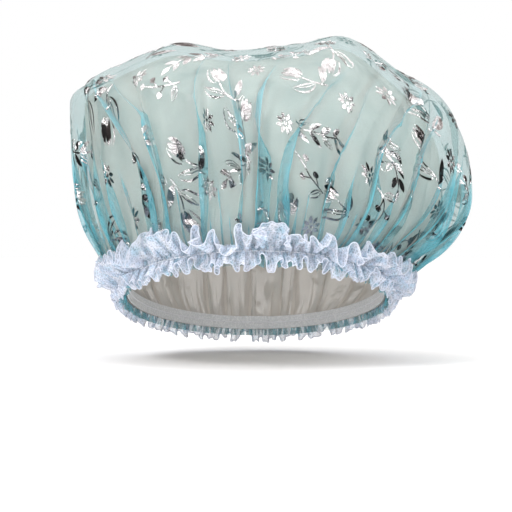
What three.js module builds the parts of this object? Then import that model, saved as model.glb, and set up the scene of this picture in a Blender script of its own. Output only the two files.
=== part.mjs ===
// A bouffant shower cap in its worn shape: a sheer gathered cover over a frosted liner, an elastic rim
// and a lace ruffle sewn over the gather line. Millimetres, +Z up, the forehead side faces -Y, and the
// origin is the centre of the head opening.
import * as THREE from "three";

// Head opening: an ellipse that leans, higher at the forehead than at the nape
const HEAD_WIDTH = 152;
const HEAD_DEPTH = 188;
const RIM_LEAN_DEG = 14;

// Seam, from the head outwards: bobbin thread, elastic, liner, cover, lace, needle thread. The cloth layers
// run straight between their folds, so they have more room
const LAYER_GAP = 0.35;
const CLOTH_GAP = 0.5;
const THREAD_DIAMETER = 0.7;
const ELASTIC_WIDTH = 8;
const ELASTIC_THICKNESS = 1;
const ELASTIC_OVERLAP = 16;
const ELASTIC_STEP = 14;
const LINER_WALL = 0.4;
const COVER_WALL = 0.4;
const LACE_WALL = 0.5;

// Crown: how far the cover stands out past the rim, how high its widest point is, and its top
const OVERHANG = { front: 16, right: 49.5, back: 30, left: 32 };
const BULGE_HEIGHT = { front: 92, right: 68, back: 66, left: 110 };
const CROWN_HEIGHT = 147.5;
const CROWN_SHIFT = { right: 20, back: 10 };
const CROWN_FULLNESS = 0.6;
const WALL_FULLNESS = 0.6;
const SEAM_SPREAD = 0.6;
const SEAM_RISE = 14;

// Humps and hollows across the crown: how far across each lies, its spread and its height. They start and
// reach their full height at these depths below the crown
const BILLOWS = [
  { across: -46, spread: 13, height: 4.5 },
  { across: -11, spread: 16, height: -6 },
  { across: 51, spread: 13, height: 6.5 },
  { across: 92, spread: 14, height: -3 },
];
const BILLOW_START = 52;
const BILLOW_FULL = 12;

// Gather folds: how deep a fold is, where it starts between crown and widest point, how much the panels
// between folds swell, and how the liner lies inside them
const FOLD_DEPTH = 5.5;
const FOLD_START = 0.25;
const PANEL_SWELL = 2;
const LINER_FOLD_DEPTH = 3;
const LINER_CLEARANCE = { front: 3.5, right: 10, back: 6, left: 2 };
const LINER_CROWN_DROP = 7;

// Heading: the margin of the cover below the seam
const HEADING_LENGTH = 8;
const HEADING_FLARE_DEG = 12;

// Lace ruffle, sewn along its middle
const LACE_BAND = 5;
const LACE_UPPER = 17;
const LACE_LOWER = 15;
const LACE_LOWER_FLARE_DEG = 30;
const LACE_RUFFLE = 5;
const LACE_WAVES = 31;

// Folds across the front, from the wearer's right to left: degrees round the rim at the hem and at the
// top of the fold, then the depth as a share of FOLD_DEPTH. The back folds are evenly spread. A fold leans
// away from its hem between these shares of the way from crown to seam
const FRONT_FOLDS = [
  { hem: -71, top: -89, depth: 0.8 },
  { hem: -39, top: -74, depth: 1 },
  { hem: -20, top: -24, depth: 0.7 },
  { hem: -6, top: -15, depth: 0.7 },
  { hem: 1, top: 6, depth: 1 },
  { hem: 10.5, top: 35, depth: 0.8 },
  { hem: 25, top: 47, depth: 0.9 },
  { hem: 38, top: 64, depth: 1 },
  { hem: 51, top: 73, depth: 0.9 },
  { hem: 71, top: 90, depth: 1 },
];
const FOLD_LEAN = { from: 0.35, to: 0.75 };
const BACK_FOLDS = 7;
const BACK_FOLD_DEPTH_SHARE = 0.85;

// Steps along a meridian, crown to widest point and widest point to seam
const UPPER_STEPS = [0.17, 0.34, 0.5, 0.67, 0.84, 1];
const LOWER_STEPS = [0.3, 0.55, 0.8, 1];
const PANEL_COLUMNS = 2;
const RING_STEPS = 96;
const THREAD_SIDES = 5;

const { clamp, degToRad, euclideanModulo, lerp, mapLinear, smoothstep } = THREE.MathUtils;
const UP = new THREE.Vector3(0, 0, 1);
const RIM_LEAN = degToRad(RIM_LEAN_DEG);

// Offsets of the seam layers from the head's ellipse
const LINER_OFFSET = ELASTIC_THICKNESS + CLOTH_GAP + LINER_WALL;
const COVER_OFFSET = LINER_OFFSET + CLOTH_GAP + COVER_WALL;
const LACE_OFFSET = COVER_OFFSET + CLOTH_GAP + LACE_WALL;
const NEEDLE_OFFSET = LACE_OFFSET + LAYER_GAP + THREAD_DIAMETER / 2;
const NECK_HALF = ELASTIC_WIDTH / 2;

// The two gathered discs. The liner stays inside the cover's deepest folds
const cover = {
  offset: COVER_OFFSET,
  insetAt: () => 0,
  drop: 0,
  wall: COVER_WALL,
  fold: FOLD_DEPTH,
  swell: PANEL_SWELL,
};
const liner = {
  offset: LINER_OFFSET,
  insetAt: (angle) => FOLD_DEPTH + around(LINER_CLEARANCE, angle),
  drop: LINER_CROWN_DROP,
  wall: LINER_WALL,
  fold: LINER_FOLD_DEPTH,
  swell: 0,
};

function outward(angle) {
  return new THREE.Vector3(Math.sin(angle), -Math.cos(angle), 0);
}

// A point beside the head's ellipse, in the plane of the rim
function ringPoint(angle, offset, height) {
  const x = (HEAD_WIDTH / 2 + offset) * Math.sin(angle);
  const y = -(HEAD_DEPTH / 2 + offset) * Math.cos(angle);
  return new THREE.Vector3(x, y, height);
}

function rimPoint(angle, offset, height) {
  return ringPoint(angle, offset, height).applyAxisAngle(new THREE.Vector3(1, 0, 0), -RIM_LEAN);
}

// Smooth value round the cap from one value on each of its four sides
function around(sides, angle) {
  const mean = (sides.front + sides.back + sides.left + sides.right) / 4;
  const frontBack = ((sides.front - sides.back) / 2) * Math.cos(angle);
  const rightLeft = ((sides.right - sides.left) / 2) * Math.sin(angle);
  const oval = ((sides.front + sides.back - sides.left - sides.right) / 4) * Math.cos(2 * angle);
  return mean + frontBack + rightLeft + oval;
}

function bulgePoint(layer, angle) {
  const reach = COVER_OFFSET + around(OVERHANG, angle) - layer.insetAt(angle);
  return ringPoint(angle, reach, around(BULGE_HEIGHT, angle));
}

// The meridian from the crown out to the widest point, and from there in to the seam
function upperCurve(layer, angle) {
  const crown = new THREE.Vector3(CROWN_SHIFT.right, CROWN_SHIFT.back, CROWN_HEIGHT - layer.drop);
  const bulge = bulgePoint(layer, angle);
  const shoulder = crown.clone().lerp(bulge, CROWN_FULLNESS).setZ(crown.z);
  const side = bulge.clone().setZ(lerp(bulge.z, crown.z, CROWN_FULLNESS));
  return new THREE.CubicBezierCurve3(crown, shoulder, side, bulge);
}

function lowerCurve(layer, angle) {
  const bulge = bulgePoint(layer, angle);
  const neck = rimPoint(angle, layer.offset, NECK_HALF);
  const side = bulge.clone().setZ(lerp(bulge.z, neck.z, WALL_FULLNESS));
  const rise = neck.clone().lerp(bulge, SEAM_SPREAD).setZ(neck.z + SEAM_RISE);
  return new THREE.CubicBezierCurve3(bulge, side, rise, neck);
}

function normalOn(curve, share, angle) {
  const tangent = curve.getTangent(share);
  const out = outward(angle);
  return out.clone().multiplyScalar(-tangent.z).addScaledVector(UP, tangent.dot(out)).normalize();
}

// How far the billows lift or lower a point of a layer
function billowRise(point, layer) {
  const crown = CROWN_HEIGHT - layer.drop;
  const share = smoothstep(point.z, crown - BILLOW_START, crown - BILLOW_FULL);
  return BILLOWS.reduce((rise, billow) => {
    const away = (point.x - billow.across) / billow.spread;
    return rise + billow.height * share * Math.exp((-away * away) / 2);
  }, 0);
}

// Folds are deepest at the widest point. Towards the seam they fade as the liner closes on the cover
function upperFoldShare(share) {
  return smoothstep(share, FOLD_START, 1);
}

function lowerFoldShare(share) {
  const rest = 1 - share;
  return rest * rest * (1 + 2 * share) + SEAM_SPREAD * 3 * share * share * rest;
}

function allFolds() {
  const last = FRONT_FOLDS[FRONT_FOLDS.length - 1];
  const first = FRONT_FOLDS[0];
  const folds = [...FRONT_FOLDS];
  for (let i = 1; i <= BACK_FOLDS; i += 1) {
    const share = i / (BACK_FOLDS + 1);
    folds.push({
      hem: lerp(last.hem, first.hem + 360, share),
      top: lerp(last.top, first.top + 360, share),
      depth: BACK_FOLD_DEPTH_SHARE,
    });
  }
  return folds;
}

// One column in each fold and a few in the panel up to the next fold
function foldColumns(layer) {
  const folds = allFolds();
  const columns = [];
  folds.forEach((fold, i) => {
    const wraps = i === folds.length - 1;
    const next = wraps ? { hem: folds[0].hem + 360, top: folds[0].top + 360 } : folds[i + 1];
    columns.push({ hem: fold.hem, top: fold.top, push: -fold.depth * layer.fold });
    for (let k = 1; k <= PANEL_COLUMNS; k += 1) {
      const share = k / (PANEL_COLUMNS + 1);
      const hem = lerp(fold.hem, next.hem, share);
      const top = lerp(fold.top, next.top, share);
      columns.push({ hem, top, push: layer.swell });
    }
  });
  return columns;
}

function columnAngle(column, descent) {
  const left = 1 - mapLinear(descent, FOLD_LEAN.from, FOLD_LEAN.to, 0, 1);
  const lean = clamp(left, 0, 1) ** 2;
  return degToRad(lerp(column.hem, column.top, lean));
}

// Rows of matching outer and inner points of a gathered disc, crown first
function gatheredRows(layer) {
  const columns = foldColumns(layer);
  const rows = [];
  const steps = UPPER_STEPS.length + LOWER_STEPS.length;
  const addRow = (curveAt, share, foldShare) => {
    const descent = (rows.length + 1) / steps;
    rows.push(
      columns.map((column) => {
        const angle = columnAngle(column, descent);
        const curve = curveAt(layer, angle);
        const outer = curve.getPoint(share).addScaledVector(outward(angle), column.push * foldShare);
        outer.z += billowRise(outer, layer);
        const inner = outer.clone().addScaledVector(normalOn(curve, share, angle), -layer.wall);
        return { outer, inner };
      }),
    );
  };
  UPPER_STEPS.forEach((share) => addRow(upperCurve, share, upperFoldShare(share)));
  LOWER_STEPS.forEach((share) => addRow(lowerCurve, share, lowerFoldShare(share)));
  rows[rows.length - 1] = rimRow(columns, layer, layer.offset, NECK_HALF);
  rows.push(rimRow(columns, layer, layer.offset, -NECK_HALF));
  return rows;
}

function rimRow(columns, layer, offset, height) {
  return columns.map((column) => {
    const angle = degToRad(column.hem);
    return { outer: rimPoint(angle, offset, height), inner: rimPoint(angle, offset - layer.wall, height) };
  });
}

// Closed solid of a gathered disc: outer skin, inner skin, and the cut edge that joins them. Both skins
// split their quads alike, so the wall keeps its thickness
function discSolid(layer, rows) {
  const count = rows[0].length;
  const crown = upperCurve(layer, 0).getPoint(0);
  crown.z += billowRise(crown, layer);
  const points = [crown, crown.clone().addScaledVector(UP, -layer.wall)];
  rows.forEach((row) => row.forEach((pair) => points.push(pair.outer, pair.inner)));
  const at = (row, column, side) => 2 + 2 * (row * count + (column % count)) + side;
  const faces = [];
  for (let j = 0; j < count; j += 1) {
    faces.push([0, at(0, j, 0), at(0, j + 1, 0)], [1, at(0, j + 1, 1), at(0, j, 1)]);
    for (let i = 0; i + 1 < rows.length; i += 1) {
      addQuad(faces, at(i, j, 0), at(i + 1, j, 0), at(i + 1, j + 1, 0), at(i, j + 1, 0));
      addQuad(faces, at(i, j, 1), at(i, j + 1, 1), at(i + 1, j + 1, 1), at(i + 1, j, 1));
    }
    const end = rows.length - 1;
    addQuad(faces, at(end, j, 0), at(end, j, 1), at(end, j + 1, 1), at(end, j + 1, 0));
  }
  return geometryOf(points, faces);
}

// Closed solid swept through matching sections, as a full ring or as a strap with two flat ends. A section
// runs down the outer side and back up the inner side, and both sides split their quads alike
function sweptSolid(sections, isRing) {
  const size = sections[0].length;
  const points = sections.flat();
  const faces = [];
  const spans = isRing ? sections.length : sections.length - 1;
  for (let j = 0; j < spans; j += 1) {
    const here = j * size;
    const there = ((j + 1) % sections.length) * size;
    for (let k = 0; k < size; k += 1) {
      const next = (k + 1) % size;
      if (k < size / 2) addQuad(faces, here + k, here + next, there + next, there + k);
      else addQuad(faces, here + next, there + next, there + k, here + k);
    }
  }
  if (!isRing) {
    const end = points.length - size;
    for (let k = 1; k + 1 < size; k += 1) {
      faces.push([0, k + 1, k], [end, end + k, end + k + 1]);
    }
  }
  return geometryOf(points, faces);
}

function addQuad(faces, a, b, c, d) {
  faces.push([a, b, c], [a, c, d]);
}

function geometryOf(points, faces) {
  const geometry = new THREE.BufferGeometry().setFromPoints(points);
  geometry.setIndex(faces.flat());
  geometry.computeVertexNormals();
  return geometry;
}

function piece(name, geometry, look) {
  const mesh = new THREE.Mesh(geometry, new THREE.MeshStandardMaterial({ metalness: 0, ...look }));
  mesh.name = name;
  return mesh;
}

// Sheer foil-printed fabric, with the heading below the seam
function outerCover() {
  const rows = gatheredRows(cover);
  const flare = degToRad(HEADING_FLARE_DEG);
  const offset = cover.offset + HEADING_LENGTH * Math.sin(flare);
  rows.push(rimRow(foldColumns(cover), cover, offset, -NECK_HALF - HEADING_LENGTH * Math.cos(flare)));
  const look = { color: 0xa9d6da, roughness: 0.45, transparent: true, opacity: 0.6 };
  return piece("outer_cover", discSolid(cover, rows), look);
}

// Frosted waterproof film
function innerLiner() {
  const look = { color: 0xd5dcdc, roughness: 0.6, transparent: true, opacity: 0.7 };
  return piece("inner_liner", discSolid(liner, gatheredRows(liner)), look);
}

// The elastic's inner end steps in over its outer end at the nape. Zero away from the lap, one on it
function lapShare(angle, tailLength) {
  const along = (euclideanModulo(angle, 2 * Math.PI) - Math.PI) * (HEAD_WIDTH / 2);
  const start = -ELASTIC_OVERLAP / 2;
  const rising = clamp((along - start + ELASTIC_STEP) / ELASTIC_STEP, 0, 1);
  const end = ELASTIC_OVERLAP / 2 + LAYER_GAP;
  const falling = clamp((end + tailLength - along) / tailLength, 0, 1);
  return Math.min(rising, falling);
}

function elasticBand() {
  const lapAngle = ELASTIC_OVERLAP / (HEAD_WIDTH / 2);
  const first = Math.PI - lapAngle / 2;
  const last = first + 2 * Math.PI + lapAngle;
  const sections = [];
  for (let i = 0; i <= RING_STEPS; i += 1) {
    const angle = lerp(first, last, i / RING_STEPS);
    const onInnerEnd = angle > first + Math.PI;
    const step = onInnerEnd ? lapShare(angle, ELASTIC_STEP) : 0;
    const inside = -step * (ELASTIC_THICKNESS + LAYER_GAP);
    const outside = inside + ELASTIC_THICKNESS;
    sections.push([
      ringPoint(angle, outside, NECK_HALF),
      ringPoint(angle, outside, -NECK_HALF),
      ringPoint(angle, inside, -NECK_HALF),
      ringPoint(angle, inside, NECK_HALF),
    ]);
  }
  return piece("elastic_band", sweptSolid(sections, false), { color: 0xe9eaec, roughness: 0.85 });
}

// A round thread laid along the middle of the seam
function threadRing(name, offsetAt) {
  const radius = THREAD_DIAMETER / 2;
  const sections = [];
  for (let i = 0; i < RING_STEPS; i += 1) {
    const angle = (2 * Math.PI * i) / RING_STEPS;
    const section = [];
    for (let k = 0; k < THREAD_SIDES; k += 1) {
      const turn = (-2 * Math.PI * k) / THREAD_SIDES;
      section.push(ringPoint(angle, offsetAt(angle) + radius * Math.cos(turn), radius * Math.sin(turn)));
    }
    sections.push(section);
  }
  return piece(name, sweptSolid(sections, true), { color: 0xf4f5f8, roughness: 0.7 });
}

function bobbinOffset(angle) {
  const step = lapShare(angle, ELASTIC_STEP) * (ELASTIC_THICKNESS + LAYER_GAP);
  return -step - LAYER_GAP - THREAD_DIAMETER / 2;
}

// The lace's upper half lies over the cover's wall, clear of its panels, and ruffles out from it
function laceOverCover(angle, distance, wave) {
  const curve = lowerCurve(cover, angle);
  const share = curve.getUtoTmapping(1 - distance / curve.getLength());
  const ruffle = ((LACE_RUFFLE * distance) / LACE_UPPER) * (1 + wave);
  const lift = LACE_WALL + 2 * LAYER_GAP + PANEL_SWELL * lowerFoldShare(share) + ruffle;
  const normal = normalOn(curve, share, angle);
  const outer = curve.getPoint(share).addScaledVector(normal, lift);
  return { outer, inner: outer.clone().addScaledVector(normal, -LACE_WALL) };
}

function laceBelowSeam(angle, wave) {
  const flare = degToRad(LACE_LOWER_FLARE_DEG);
  const offset = LACE_OFFSET + LACE_LOWER * Math.sin(flare) + LACE_RUFFLE * wave * Math.cos(flare);
  const height = -LACE_BAND / 2 - LACE_LOWER * Math.cos(flare) + LACE_RUFFLE * wave * Math.sin(flare);
  return { outer: rimPoint(angle, offset, height), inner: rimPoint(angle, offset - LACE_WALL, height) };
}

function laceBand(angle, height) {
  const outer = rimPoint(angle, LACE_OFFSET, height);
  return { outer, inner: rimPoint(angle, LACE_OFFSET - LACE_WALL, height) };
}

function laceRuffle() {
  const wave = [1, 0, -1, 0];
  const count = LACE_WAVES * wave.length;
  const sections = [];
  for (let i = 0; i < count; i += 1) {
    const angle = (2 * Math.PI * i) / count;
    const rise = wave[i % wave.length];
    const pairs = [
      laceOverCover(angle, LACE_UPPER, rise),
      laceOverCover(angle, LACE_UPPER / 2, rise),
      laceBand(angle, LACE_BAND / 2),
      laceBand(angle, -LACE_BAND / 2),
      laceBelowSeam(angle, -rise),
    ];
    const backwards = [...pairs].reverse();
    sections.push([...pairs.map((pair) => pair.outer), ...backwards.map((pair) => pair.inner)]);
  }
  return piece("lace_ruffle", sweptSolid(sections, true), { color: 0xdfe2ee, roughness: 0.9 });
}

const rim = new THREE.Group();
rim.rotation.x = -RIM_LEAN;
rim.add(elasticBand());
rim.add(threadRing("needle_thread", () => NEEDLE_OFFSET));
rim.add(threadRing("bobbin_thread", bobbinOffset));

const showerCap = new THREE.Group();
showerCap.add(outerCover(), innerLiner(), laceRuffle(), rim);

export default showerCap;
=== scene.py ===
import math

import bpy
import numpy as np
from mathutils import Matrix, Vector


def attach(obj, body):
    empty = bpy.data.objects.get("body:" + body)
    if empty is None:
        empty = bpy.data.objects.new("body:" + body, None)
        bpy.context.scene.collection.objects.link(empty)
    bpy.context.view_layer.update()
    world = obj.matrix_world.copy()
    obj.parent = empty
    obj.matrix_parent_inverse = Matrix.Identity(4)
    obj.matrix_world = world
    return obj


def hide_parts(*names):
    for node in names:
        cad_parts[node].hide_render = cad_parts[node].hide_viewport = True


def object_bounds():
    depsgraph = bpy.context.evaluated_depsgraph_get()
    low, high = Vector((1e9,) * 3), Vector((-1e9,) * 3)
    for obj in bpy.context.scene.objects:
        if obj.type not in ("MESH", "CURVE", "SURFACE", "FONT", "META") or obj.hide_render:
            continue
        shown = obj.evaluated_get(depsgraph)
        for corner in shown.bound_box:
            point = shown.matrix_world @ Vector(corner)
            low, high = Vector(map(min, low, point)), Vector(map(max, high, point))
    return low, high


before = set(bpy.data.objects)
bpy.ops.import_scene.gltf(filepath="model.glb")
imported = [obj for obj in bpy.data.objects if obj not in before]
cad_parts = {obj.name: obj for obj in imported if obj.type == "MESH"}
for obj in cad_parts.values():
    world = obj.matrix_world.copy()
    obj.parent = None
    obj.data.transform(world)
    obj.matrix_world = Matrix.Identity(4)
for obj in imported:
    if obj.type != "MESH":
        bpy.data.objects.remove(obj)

cad_low, cad_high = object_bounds()

# Outer cover
# One disc of sheer turquoise organza, drawn up along a line near its edge to the size of the rim. The
# crown stands full of pleats, and the margin below the line is left as a narrow frill.
mm = 0.001

# The rim is an oval that leans back, and the cloth is held to it along a band
rim_half_width = 76 * mm
rim_half_depth = 94 * mm
rim_lean = math.radians(14)
seam_half = 4 * mm
cover_offset = 2.8 * mm

# The crown stands out past the rim by the overhang, and is widest at the height of the bulge
overhang = {"front": 16 * mm, "right": 49.5 * mm, "back": 30 * mm, "left": 32 * mm}
bulge_height = {"front": 92 * mm, "right": 68 * mm, "back": 66 * mm, "left": 110 * mm}
crown_top = (20 * mm, 10 * mm, 147.5 * mm)

# How roundly the cloth goes over the shoulder, under the bulge and into the seam
crown_fullness = 0.6
wall_fullness = 0.6
seam_spread = 0.6
seam_rise = 14 * mm
heading_flare = math.radians(12)

# The flat disc is measured in millimetres from its centre: the cloth is sewn along cover_seam
cover_seam = 240
cover_edge = cover_seam + 12


def ring(angle, offset, height):
    """Points on an oval along the rim, before it leans back. Angles start at the front."""
    x = (rim_half_width + offset) * np.sin(angle)
    y = -(rim_half_depth + offset) * np.cos(angle)
    return np.stack(np.broadcast_arrays(x, y, height), axis=-1)


def lean_back(points):
    """The same points with the rim's lean, front side up."""
    x, y, z = np.moveaxis(points, -1, 0)
    turned_y = y * math.cos(rim_lean) + z * math.sin(rim_lean)
    turned_z = z * math.cos(rim_lean) - y * math.sin(rim_lean)
    return np.stack([x, turned_y, turned_z], axis=-1)


def round_the_cap(side, angle):
    """A size that changes smoothly between its values at the four sides."""
    mean = sum(side.values()) / 4
    front_back = (side["front"] - side["back"]) / 2 * np.cos(angle)
    right_left = (side["right"] - side["left"]) / 2 * np.sin(angle)
    oval = (side["front"] + side["back"] - side["left"] - side["right"]) / 4 * np.cos(2 * angle)
    return mean + front_back + right_left + oval


def swing(start, leave, arrive, end, steps):
    """Smooth curves from the start points to the end points, drawn towards the two between them."""
    t = np.linspace(0, 1, steps)[:, None]
    a, b, c, d = (p[:, None, :] for p in (start, leave, arrive, end))
    return a * (1 - t) ** 3 + 3 * b * t * (1 - t) ** 2 + 3 * c * t * t * (1 - t) + d * t ** 3


def at_height(points, height):
    """The same points, moved up or down to a height."""
    moved = points.copy()
    moved[:, 2] = height
    return moved


# Soft humps and hollows across the crown, in mm: place from left to right, spread and height. They
# start and are full this far below its top
billows = [(-92, 16, -2.2), (-46, 13, 4), (-11, 16, -3.2), (51, 13, 8), (92, 14, -1.5)]
billow_start = 52 * mm
billow_full = 12 * mm

# Folds where the gathers pull the cloth in: degrees round the rim at the seam and at the top, and the
# share of the full depth. Those round the back are evenly spread
deep_folds = [
    (-71, -89, 0.8), (-39, -74, 1), (-20, -24, 0.7), (-6, -15, 0.7), (1, 6, 1),
    (10.5, 35, 0.8), (25, 47, 0.9), (38, 64, 1), (51, 73, 0.9), (71, 90, 1),
]
deep_folds += [(71 + 27.25 * n, 90 + 22.625 * n, 0.85) for n in range(1, 8)]


def ease(low, high, value):
    """Nought below low, one above high, and a smooth change between."""
    t = np.clip((value - low) / (high - low), 0, 1)
    return t * t * (3 - 2 * t)


def leaning(start, end, share):
    """How far a fold has leaned towards its top: fully at the start, and not at all past the end."""
    return np.clip((end - share) / (end - start), 0, 1) ** 2


def pulled_in(angle, descent, depth, swell):
    """How far the panels swell and the folds pull in. A fold fades out over a third of each panel."""
    turn = np.degrees(angle)[:, None]
    lean = leaning(0.35, 0.75, descent)
    push = np.zeros((len(angle), len(descent)))
    wrapped = deep_folds + [(deep_folds[0][0] + 360, deep_folds[0][1] + 360, deep_folds[0][2])]
    for here, there in zip(wrapped, wrapped[1:]):
        start, end = (fold[0] + (fold[1] - fold[0]) * lean for fold in (here, there))
        share = (turn - start) % 360 / (end - start)
        first = np.clip(1 - 3 * share, 0, 1) ** 2
        last = np.clip(3 * share - 2, 0, 1) ** 2
        pushed = swell * (1 - first - last) - depth * (here[2] * first + there[2] * last)
        push = np.where(share < 1, pushed, push)
    return push


def smooth_crown(offset, inset, drop, depth, swell, seam, edge):
    """A gathered disc with its pleats smoothed out: a row for each degree, a step for each flat mm."""
    steps = 120
    upper_share = 0.6
    angle = np.radians(np.arange(-180, 181))
    reach = cover_offset + round_the_cap(overhang, angle) - round_the_cap(inset, angle)
    bulge = ring(angle, reach, round_the_cap(bulge_height, angle))
    crown = np.tile([crown_top[0], crown_top[1], crown_top[2] - drop], (len(angle), 1))
    neck = lean_back(ring(angle, offset, seam_half))
    shoulder = at_height(crown + crown_fullness * (bulge - crown), crown[:, 2])
    side = at_height(bulge, bulge[:, 2] + crown_fullness * (crown[:, 2] - bulge[:, 2]))
    wall = at_height(bulge, bulge[:, 2] + wall_fullness * (neck[:, 2] - bulge[:, 2]))
    rise = at_height(neck + seam_spread * (bulge - neck), neck[:, 2] + seam_rise)
    upper = swing(crown, shoulder, side, bulge, steps)
    lower = swing(bulge, wall, rise, neck, steps)
    path = np.concatenate([upper, lower[:, 1:]], axis=1)
    t = np.linspace(0, 1, steps)
    rest = 1 - t[1:]
    faded = rest ** 2 * (3 - 2 * rest) + 3 * seam_spread * (1 - rest) ** 2 * rest
    held = np.concatenate([ease(0.25, 1, t), faded])
    descent = np.concatenate([upper_share * t, upper_share + (1 - upper_share) * t[1:]])
    push = pulled_in(angle, descent, depth, swell) * held
    path[..., 0] += push * np.sin(angle)[:, None]
    path[..., 1] -= push * np.cos(angle)[:, None]
    top_only = ease(crown[0, 2] - billow_start, crown[0, 2] - billow_full, path[..., 2])
    lift = np.zeros(top_only.shape)
    for place, spread, height in billows:
        lift += height * mm * np.exp(-(((path[..., 0] / mm - place) / spread) ** 2) / 2)
    path[..., 2] += lift * top_only
    form = np.empty((len(angle), edge + 1, 3))
    for i, line in enumerate(path):
        along = np.concatenate([[0], np.cumsum(np.linalg.norm(np.diff(line, axis=0), axis=1))])
        wanted = np.linspace(0, along[-1], seam + 1)
        for k in range(3):
            form[i, : seam + 1, k] = np.interp(wanted, along, line[:, k])
    for step in range(seam + 1, edge + 1):
        down = (step - seam) * mm
        below = max(0, down - 2 * seam_half)
        out = offset + below * math.sin(heading_flare)
        height = seam_half - down + below * (1 - math.cos(heading_flare))
        form[:, step] = lean_back(ring(angle, out, height))
    return form


def normals_of(form):
    """Which way the cloth faces at each place of the form, out of the cap."""
    round_rim = np.gradient(form, axis=0)
    round_rim[0] = round_rim[-1] = (form[1] - form[-2]) / 2
    outward = np.cross(np.gradient(form, axis=1), round_rim)
    outward[:, 0] = (0, 0, 1)
    return outward / np.maximum(np.linalg.norm(outward, axis=-1, keepdims=True), 1e-12)


def read_form(table, angle, radius):
    """The table's values at any angle, in radians from the front, and any flat radius, in mm."""
    a = np.clip(np.degrees(angle) + 180, 0, 359.9999)
    r = np.clip(radius, 0, table.shape[1] - 1.0001)
    i = a.astype(int)
    j = r.astype(int)
    fa = (a - i)[:, None]
    fr = (r - j)[:, None]
    near = table[i, j] * (1 - fr) + table[i, j + 1] * fr
    far = table[i + 1, j] * (1 - fr) + table[i + 1, j + 1] * fr
    return near * (1 - fa) + far * fa


# Main pleats across the front: degrees round the rim at the seam and at the top of the pleat, the share
# of the disc's radius where it begins, how much cloth it takes, and the side it lies to
front_pleats = [
    (-88, -103, 0.6, 1.0, -1), (-80, -97, 0.58, 1.2, 1), (-71, -89, 0.57, 1.2, 1),
    (-64, -86, 0.66, 0.9, -1), (-56, -83, 0.68, 0.8, -1), (-49, -81, 0.74, 0.7, 1),
    (-42, -78, 0.46, 1.5, 1), (-35, -70, 0.48, 1.7, 1), (-28, -44, 0.8, 0.6, 1),
    (-20, -24, 0.34, 0.8, -1), (-13, -19, 0.8, 0.5, 1), (-6, -15, 0.36, 0.7, 1),
    (1, 6, 0.38, 1.4, -1), (10.5, 35, 0.42, 1.1, 1), (17, 40, 0.8, 0.5, -1),
    (24.5, 47, 0.46, 0.9, -1), (30, 51, 0.7, 0.7, 1), (38, 64, 0.38, 1.8, -1),
    (44, 68, 0.74, 0.8, 1), (51, 73, 0.46, 1.5, -1), (58, 80, 0.64, 1.1, -1),
    (65, 86, 0.58, 1.5, -1), (72, 91, 0.54, 1.8, 1), (80, 98, 0.58, 1.5, -1), (87, 104, 0.58, 1.3, 1),
]

# Those round the back: the degrees they stand between, and a hem, its top and how tops follow hems
back_span = (95, 268)
back_lean = (90, 106, 0.83)
small_apart = 3.4


def pleat_list(draw, main, apart, first_main, first_small):
    """Every pleat round the cap: the main ones, others round the back, and small ones between them."""
    first_hem, first_top, slope = back_lean
    back = []
    for hem in np.arange(*back_span, apart):
        place = hem + draw.uniform(-3, 3)
        top = first_top + slope * (place - first_hem)
        start = draw.uniform(first_main, first_main + 0.2)
        back.append((place, top, start, draw.uniform(0.7, 1.3), draw.choice([-1, 1])))
    every = [p if p[0] < 180 else (p[0] - 360, p[1] - 360, *p[2:]) for p in (*main, *back)]
    every.sort()
    small = []
    for here, there in zip(every, every[1:] + [(every[0][0] + 360, every[0][1] + 360)]):
        count = max(1, round((there[0] - here[0]) / small_apart)) - 1
        for n in range(count):
            f = (n + 1) / (count + 1) + draw.uniform(-0.1, 0.1) / (count + 1)
            hem = here[0] + f * (there[0] - here[0])
            top = here[1] + f * (there[1] - here[1])
            start = draw.uniform(first_small, 0.96)
            small.append((hem, top, start, draw.uniform(0.45, 0.8), draw.choice([-1, 1])))
    wrapped = [p if p[0] < 178 else (p[0] - 360, p[1] - 360, *p[2:]) for p in (*every, *small)]
    swayed = [(*p, draw.uniform(0, 2 * np.pi)) for p in sorted(wrapped)]
    return np.array(swayed, float)


def gather(form, pleats, seam, taken, most, height):
    """Each pleat's place, cloth, width and height at each flat mm of radius.

    The pleats take up a share of the cloth that the form has no room for, up to so many mm each. They
    are fine lines high on the crown, widen towards the seam, and lie flat where they are sewn. Each
    change goes on between two shares of the way from crown to seam.
    """
    leans = (0.45, 0.85)
    widens = (0.5, 0.8)
    fills = (0.62, 0.97)
    flattens = (0.82, 0.98)
    steadies = (0.88, 1)
    edge = form.shape[1] - 1
    radius = np.arange(edge + 1, dtype=float)[:, None]
    share = radius / seam
    hem, top, start, weight, lie, sway = pleats.T
    wander = np.sin(8 * share + sway) * ease(start, start + 0.2, share) * (1 - ease(*steadies, share))
    place = np.radians(hem + (top - hem) * leaning(*leans, share) + wander)
    begun = ease(start, start + 0.08 + 0.32 * (1 - start), share)
    girth = np.linalg.norm(np.diff(form, axis=0), axis=-1).sum(axis=0) / mm
    spare = np.maximum(2 * np.pi * radius[:, 0] - girth, 0) * taken
    raw = weight * begun
    fullest = most * (0.16 + 0.84 * ease(*fills, share))
    unit = np.minimum(spare[:, None] / np.maximum(raw.sum(axis=1, keepdims=True), 0.5), fullest)
    cloth = raw * unit / np.maximum(radius, 1)
    narrow = 0.62 + 0.38 * ease(*widens, share)
    width = (1 + 0.7 * weight) * narrow / np.maximum(radius, 1)
    flat_seam = 1 - 0.8 * ease(*flattens, share) + 0.8 * ease(seam + 8, edge + 0.1, radius)
    rise = lie * begun * narrow * (0.5 + height * np.sqrt(weight)) * mm * flat_seam
    whole = cloth.sum(axis=1, keepdims=True)
    before = np.cumsum(cloth, axis=1) - cloth / 2
    flat_place = place * (1 - whole / (2 * np.pi)) + before - whole / 2
    return {
        "flat_place": flat_place, "cloth": cloth, "width": width, "rise": rise, "whole": whole[:, 0],
    }


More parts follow.
